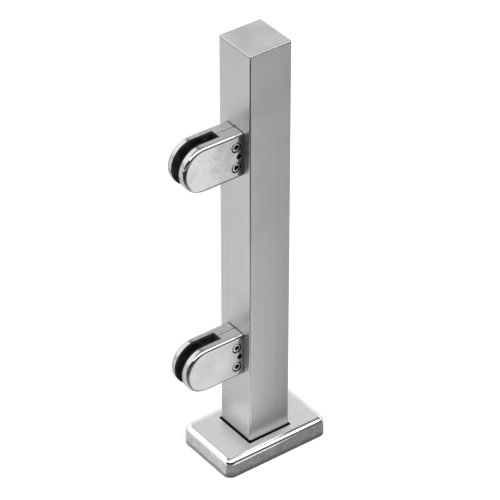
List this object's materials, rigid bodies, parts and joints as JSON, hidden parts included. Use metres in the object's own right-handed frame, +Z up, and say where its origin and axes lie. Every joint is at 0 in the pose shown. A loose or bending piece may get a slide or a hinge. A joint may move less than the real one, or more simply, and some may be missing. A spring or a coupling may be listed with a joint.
{
  "type": "glass railing post",
  "caption": "Square steel railing post with a bolted base under a pressed cover and screwed D-shaped clamps that grip the edge of a glass panel.",
  "frame": {"origin": "centre of the base flange's underside, on the floor, on the post's axis", "axes": "+Z up along the post; -X towards the glass, the way the clamps stand out; -Y the side of the clamps' screws and loose jaws"},
  "size_m": [0.144, 0.073, 0.44],
  "materials": {
    "satin_tube": "satin, brushed along the post",
    "cast_clamp": "fine satin over a casting, with bright rounded edges",
    "pressed_cover": "satin top with polished rounded edges",
    "flange_steel": "plain mill finish",
    "weld_steel": "as welded",
    "fastener_steel": "bright turned",
    "gasket_rubber": "matte black"
  },
  "bodies": {
    "post": {"post_tube": "satin_tube", "top_cap": "satin_tube", "base_flange": "flange_steel", "base_weld": "weld_steel", "lower_clamp_body": "cast_clamp", "lower_rear_gasket": "gasket_rubber", "lower_mounting_screw": "fastener_steel", "lower_lock_screw": "fastener_steel", "lower_thread_insert": "fastener_steel", "upper_clamp_body": "cast_clamp", "upper_rear_gasket": "gasket_rubber", "upper_mounting_screw": "fastener_steel", "upper_lock_screw": "fastener_steel", "upper_thread_insert": "fastener_steel"},
    "base_cover": {"base_cover": "pressed_cover"},
    "lower_jaw": {"lower_clamp_jaw": "cast_clamp", "lower_front_gasket": "gasket_rubber"},
    "lower_top_screw": {"lower_top_clamp_screw": "fastener_steel"},
    "lower_bottom_screw": {"lower_bottom_clamp_screw": "fastener_steel"},
    "upper_jaw": {"upper_clamp_jaw": "cast_clamp", "upper_front_gasket": "gasket_rubber"},
    "upper_top_screw": {"upper_top_clamp_screw": "fastener_steel"},
    "upper_bottom_screw": {"upper_bottom_clamp_screw": "fastener_steel"}
  },
  "joints": [
    {"name": "cover_lift", "type": "slide", "parent": "post", "child": "base_cover", "axis": [0, 0, 1], "range_m": [0, 0.071]},
    {"name": "lower_jaw_opening", "type": "slide", "parent": "post", "child": "lower_jaw", "axis": [0, -1, 0], "range_m": [0, 0.004]},
    {"name": "lower_top_screw_turn", "type": "hinge", "parent": "lower_jaw", "child": "lower_top_screw", "pos_m": [-0.03, 0, 0.1265], "axis": [0, -1, 0], "range_deg": [0, 1800]},
    {"name": "lower_bottom_screw_turn", "type": "hinge", "parent": "lower_jaw", "child": "lower_bottom_screw", "pos_m": [-0.03, 0, 0.1055], "axis": [0, -1, 0], "range_deg": [0, 1800]},
    {"name": "upper_jaw_opening", "type": "slide", "parent": "post", "child": "upper_jaw", "axis": [0, -1, 0], "range_m": [0, 0.004]},
    {"name": "upper_top_screw_turn", "type": "hinge", "parent": "upper_jaw", "child": "upper_top_screw", "pos_m": [-0.03, 0, 0.3455], "axis": [0, -1, 0], "range_deg": [0, 1800]},
    {"name": "upper_bottom_screw_turn", "type": "hinge", "parent": "upper_jaw", "child": "upper_bottom_screw", "pos_m": [-0.03, 0, 0.3245], "axis": [0, -1, 0], "range_deg": [0, 1800]}
  ],
  "couplings": [
    {"joint": "lower_top_screw_turn", "follows": "lower_jaw_opening", "rad_per_m": 7854},
    {"joint": "lower_bottom_screw_turn", "follows": "lower_jaw_opening", "rad_per_m": 7854},
    {"joint": "upper_top_screw_turn", "follows": "upper_jaw_opening", "rad_per_m": 7854},
    {"joint": "upper_bottom_screw_turn", "follows": "upper_jaw_opening", "rad_per_m": 7854}
  ]
}
